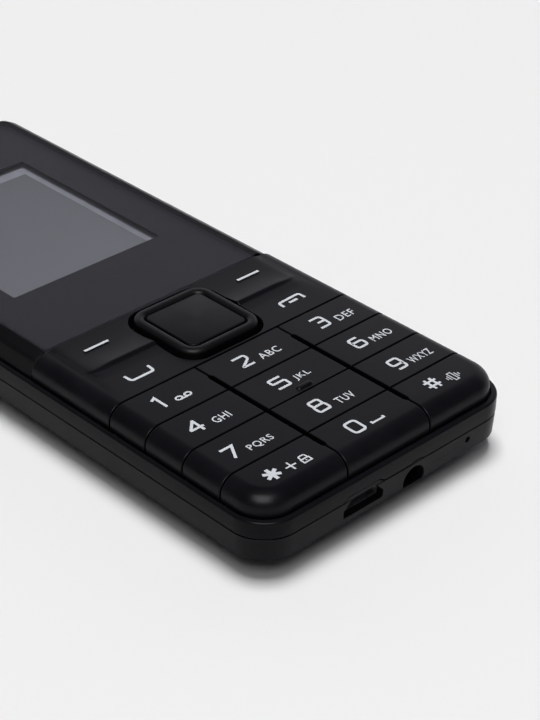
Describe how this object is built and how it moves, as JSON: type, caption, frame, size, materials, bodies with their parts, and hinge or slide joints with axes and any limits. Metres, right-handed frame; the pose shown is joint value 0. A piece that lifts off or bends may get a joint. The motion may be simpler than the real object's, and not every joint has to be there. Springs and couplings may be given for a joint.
{
  "type": "keypad mobile phone",
  "caption": "Candybar keypad phone: display behind a lens, square navigation ring, number keys, ports at the foot and a sliding battery cover.",
  "frame": {"origin": "middle of the flat resting face on the back", "axes": "+X to the right seen from the front with the keypad at the bottom, +Y from the port end to the earpiece end, +Z out of the keys"},
  "size_m": [0.0488, 0.1162, 0.0134],
  "materials": {
    "satin_cap": "satin",
    "satin_shell": "satin",
    "gloss_rim": "gloss",
    "housing_plastic": "matte",
    "clear_lens": "gloss",
    "black_print": "satin",
    "display_glass": "gloss",
    "module_frame": "matte",
    "flex_amber": "satin",
    "silicone_grey": "matte",
    "silicone_dark": "matte",
    "dome_film": "satin",
    "stamped_steel": "satin",
    "board_green": "satin",
    "connector_black": "matte",
    "tin_plate": "satin",
    "battery_wrap": "matte",
    "screw_steel": "satin",
    "tungsten": "satin",
    "copper_strip": "satin"
  },
  "bodies": {
    "phone_body": {"front_shell": "satin_shell", "rim_frame": "gloss_rim", "rear_housing": "housing_plastic", "display_lens": "clear_lens", "lens_border": "black_print", "lcd_glass": "display_glass", "lcd_module": "module_frame", "lcd_flex": "flex_amber", "earpiece_mesh": "stamped_steel", "earpiece_gasket": "silicone_dark", "earpiece_speaker": "connector_black", "keypad_mat": "silicone_grey", "keypad_chassis": "stamped_steel", "dome_sheet": "dome_film", "main_board": "board_green", "usb_socket": "tin_plate", "usb_tongue": "connector_black", "audio_jack": "connector_black", "mic_boot": "silicone_dark", "microphone": "tin_plate", "battery": "battery_wrap", "battery_connector": "connector_black", "sim_holder_1": "tin_plate", "sim_holder_2": "tin_plate", "memory_card_holder": "tin_plate", "shield_can_processor": "tin_plate", "shield_can_radio": "tin_plate", "loudspeaker": "connector_black", "vibration_motor": "tin_plate", "antenna": "copper_strip", "screw_1": "screw_steel", "screw_2": "screw_steel", "screw_3": "screw_steel", "screw_4": "screw_steel", "screw_5": "screw_steel", "screw_6": "screw_steel"},
    "key_1": {"key_1": "satin_cap"},
    "key_2": {"key_2": "satin_cap"},
    "key_3": {"key_3": "satin_cap"},
    "key_4": {"key_4": "satin_cap"},
    "key_5": {"key_5": "satin_cap"},
    "key_6": {"key_6": "satin_cap"},
    "key_7": {"key_7": "satin_cap"},
    "key_8": {"key_8": "satin_cap"},
    "key_9": {"key_9": "satin_cap"},
    "key_star": {"key_star": "satin_cap"},
    "key_0": {"key_0": "satin_cap"},
    "key_hash": {"key_hash": "satin_cap"},
    "function_carrier": {"function_carrier": "silicone_dark"},
    "function_panel": {"function_panel": "satin_cap"},
    "nav_pad": {"nav_pad": "silicone_dark"},
    "nav_ring": {"nav_ring": "satin_cap"},
    "select_key": {"select_key": "satin_cap"},
    "battery_cover": {"battery_cover": "housing_plastic"},
    "motor_weight": {"motor_weight": "tungsten"}
  },
  "joints": [
    {"name": "key_1_press", "type": "slide", "parent": "phone_body", "child": "key_1", "axis": [0, 0, -1], "range_m": [0, 0.0003], "stiffness_N_per_m": 1200},
    {"name": "key_2_press", "type": "slide", "parent": "phone_body", "child": "key_2", "axis": [0, 0, -1], "range_m": [0, 0.0003], "stiffness_N_per_m": 1200},
    {"name": "key_3_press", "type": "slide", "parent": "phone_body", "child": "key_3", "axis": [0, 0, -1], "range_m": [0, 0.0003], "stiffness_N_per_m": 1200},
    {"name": "key_4_press", "type": "slide", "parent": "phone_body", "child": "key_4", "axis": [0, 0, -1], "range_m": [0, 0.0003], "stiffness_N_per_m": 1200},
    {"name": "key_5_press", "type": "slide", "parent": "phone_body", "child": "key_5", "axis": [0, 0, -1], "range_m": [0, 0.0003], "stiffness_N_per_m": 1200},
    {"name": "key_6_press", "type": "slide", "parent": "phone_body", "child": "key_6", "axis": [0, 0, -1], "range_m": [0, 0.0003], "stiffness_N_per_m": 1200},
    {"name": "key_7_press", "type": "slide", "parent": "phone_body", "child": "key_7", "axis": [0, 0, -1], "range_m": [0, 0.0003], "stiffness_N_per_m": 1200},
    {"name": "key_8_press", "type": "slide", "parent": "phone_body", "child": "key_8", "axis": [0, 0, -1], "range_m": [0, 0.0003], "stiffness_N_per_m": 1200},
    {"name": "key_9_press", "type": "slide", "parent": "phone_body", "child": "key_9", "axis": [0, 0, -1], "range_m": [0, 0.0003], "stiffness_N_per_m": 1200},
    {"name": "key_star_press", "type": "slide", "parent": "phone_body", "child": "key_star", "axis": [0, 0, -1], "range_m": [0, 0.0003], "stiffness_N_per_m": 1200},
    {"name": "key_0_press", "type": "slide", "parent": "phone_body", "child": "key_0", "axis": [0, 0, -1], "range_m": [0, 0.0003], "stiffness_N_per_m": 1200},
    {"name": "key_hash_press", "type": "slide", "parent": "phone_body", "child": "key_hash", "axis": [0, 0, -1], "range_m": [0, 0.0003], "stiffness_N_per_m": 1200},
    {"name": "select_press", "type": "slide", "parent": "phone_body", "child": "select_key", "axis": [0, 0, -1], "range_m": [0, 0.0003], "stiffness_N_per_m": 1200},
    {"name": "function_side_tilt", "type": "hinge", "parent": "phone_body", "child": "function_carrier", "pos_m": [0, -0.01835, 0.0098], "axis": [0, 1, 0], "range_deg": [-0.6, 0.6], "stiffness_Nm_per_rad": 4},
    {"name": "function_row_tilt", "type": "hinge", "parent": "function_carrier", "child": "function_panel", "pos_m": [0, -0.01835, 0.0102], "axis": [1, 0, 0], "range_deg": [-1, 1], "stiffness_Nm_per_rad": 2},
    {"name": "nav_side_tilt", "type": "hinge", "parent": "phone_body", "child": "nav_pad", "pos_m": [0, -0.01835, 0.00975], "axis": [0, 1, 0], "range_deg": [-1.2, 1.2], "stiffness_Nm_per_rad": 1},
    {"name": "nav_row_tilt", "type": "hinge", "parent": "nav_pad", "child": "nav_ring", "pos_m": [0, -0.01835, 0.0102], "axis": [1, 0, 0], "range_deg": [-1.2, 1.2], "stiffness_Nm_per_rad": 1},
    {"name": "cover_slide", "type": "slide", "parent": "phone_body", "child": "battery_cover", "axis": [0, 1, 0], "range_m": [0, 0.01]},
    {"name": "motor_spin", "type": "hinge", "parent": "phone_body", "child": "motor_weight", "pos_m": [0.0068, 0.0476, 0.00345], "axis": [1, 0, 0], "continuous": true}
  ]
}
